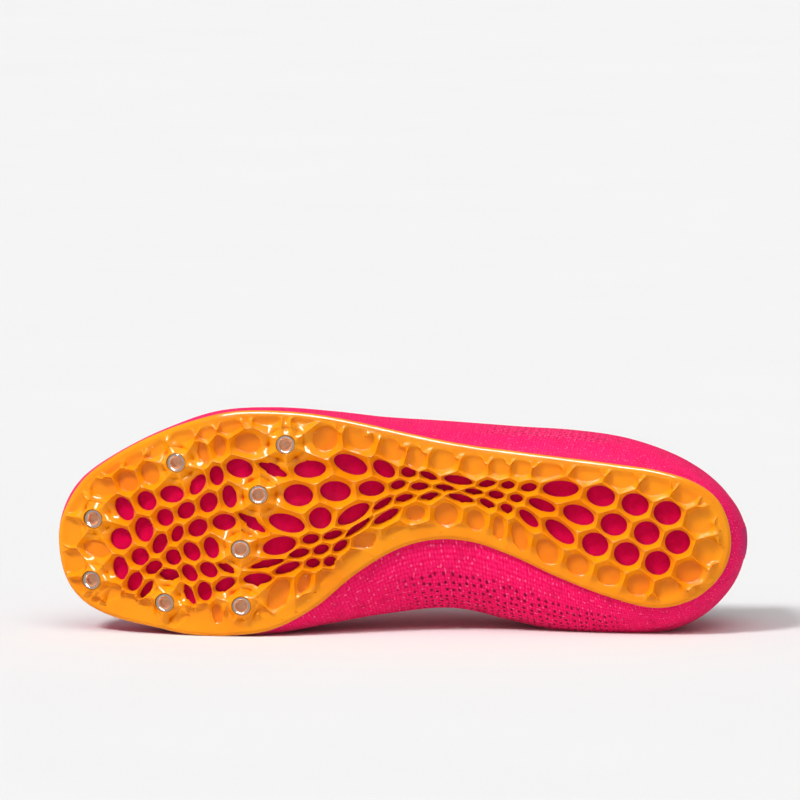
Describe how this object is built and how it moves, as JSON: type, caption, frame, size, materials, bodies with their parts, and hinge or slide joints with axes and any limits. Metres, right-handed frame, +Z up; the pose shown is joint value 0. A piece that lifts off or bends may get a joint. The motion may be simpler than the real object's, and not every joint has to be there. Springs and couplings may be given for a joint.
{
  "type": "track spike shoe",
  "caption": "Left track spike shoe lying on its medial side: knitted upper with open collar and throat over a moulded web plate with holes and steel spike receptacles, no pins fitted.",
  "frame": {"origin": "on the floor under the centre of the shoe's box, as it lies on its medial side", "axes": "+X from the toe towards the heel along the shoe's length, -Y out of the sole, +Z up, which is the shoe's lateral side"},
  "size_m": [0.2752, 0.0834, 0.0908],
  "materials": {
    "plate": "glossy moulded plastic",
    "knit": "flecked knit",
    "board": "felted sheet",
    "insole_fabric": "short brushed cloth",
    "tongue_knit": "padded knit",
    "lace": "braided cord",
    "steel": "turned and polished"
  },
  "bodies": {
    "root": {"insole": "insole_fabric", "lace_bar": "lace", "lace_crossing_1": "lace", "lace_crossing_2": "lace", "lace_crossing_3": "lace", "lace_crossing_4": "lace", "spike_plate": "plate", "spike_socket_1": "steel", "spike_socket_2": "steel", "spike_socket_3": "steel", "spike_socket_4": "steel", "spike_socket_5": "steel", "spike_socket_6": "steel", "spike_socket_7": "steel", "spike_socket_8": "steel", "strobel_board": "board", "tongue": "tongue_knit", "upper": "knit"}
  },
  "joints": []
}
